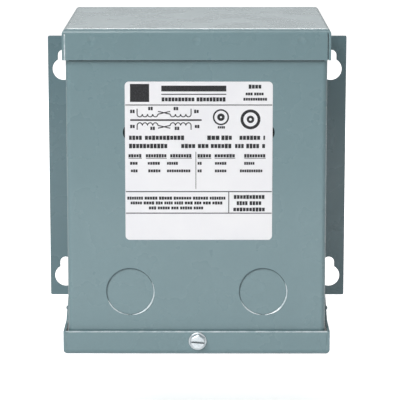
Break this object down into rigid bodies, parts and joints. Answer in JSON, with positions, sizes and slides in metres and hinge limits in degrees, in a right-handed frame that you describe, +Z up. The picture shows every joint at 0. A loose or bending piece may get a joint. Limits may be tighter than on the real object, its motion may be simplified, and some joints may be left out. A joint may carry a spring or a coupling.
{
  "type": "buck boost transformer",
  "caption": "Wall-mount buck boost transformer: potted core and coil in a folded steel case with keyhole flanges, conduit knockouts and a bottom cover that swings down.",
  "frame": {"origin": "on the wall plane, in the centre of the four screw rests of the keyholes", "axes": "+Z up, -Y out of the front, +Y into the wall, +X to the right as seen from the front"},
  "size_m": [0.1928, 0.1446, 0.1945],
  "materials": {
    "case_paint": "satin",
    "zinc_plate": "satin",
    "pin_steel": "satin",
    "label_film": "satin",
    "fibre_board": "matte",
    "compound": "matte",
    "lamination_steel": "matte",
    "former_plastic": "matte",
    "enamelled_copper": "gloss",
    "bare_copper": "satin",
    "insulation_paper": "matte",
    "lead_insulation": "satin",
    "earth_green": "satin"
  },
  "bodies": {
    "case": {"back_plate": "case_paint", "case_wrap": "case_paint", "top_cap": "case_paint", "hinge_pin_left": "pin_steel", "hinge_pin_right": "pin_steel", "rating_label": "label_film", "barrier_board": "fibre_board", "potting_compound": "compound", "core_e_stack": "lamination_steel", "core_i_stack": "lamination_steel", "core_clamp_front": "zinc_plate", "core_clamp_rear": "zinc_plate", "core_bolts": "zinc_plate", "core_nuts": "zinc_plate", "coil_bobbin": "former_plastic", "primary_winding": "enamelled_copper", "winding_insulation": "insulation_paper", "secondary_winding": "enamelled_copper", "coil_wrap": "insulation_paper", "lead_h1": "lead_insulation", "lead_h2": "lead_insulation", "lead_h3": "lead_insulation", "lead_h4": "lead_insulation", "lead_x1": "lead_insulation", "lead_x2": "lead_insulation", "lead_x3": "lead_insulation", "lead_x4": "lead_insulation", "lead_tips": "bare_copper", "ground_stud": "zinc_plate", "ground_nut": "earth_green"},
    "cover": {"bottom_cover": "case_paint", "cover_nut": "zinc_plate"},
    "screw": {"cover_screw": "zinc_plate"}
  },
  "joints": [
    {"name": "cover_swing", "type": "hinge", "parent": "case", "child": "cover", "pos_m": [0, -0.09, -0.0781], "axis": [1, 0, 0], "range_deg": [0, 85]},
    {"name": "screw_turn", "type": "hinge", "parent": "cover", "child": "screw", "pos_m": [0.0006, -0.141, -0.0864], "axis": [0, 1, 0], "continuous": true}
  ]
}
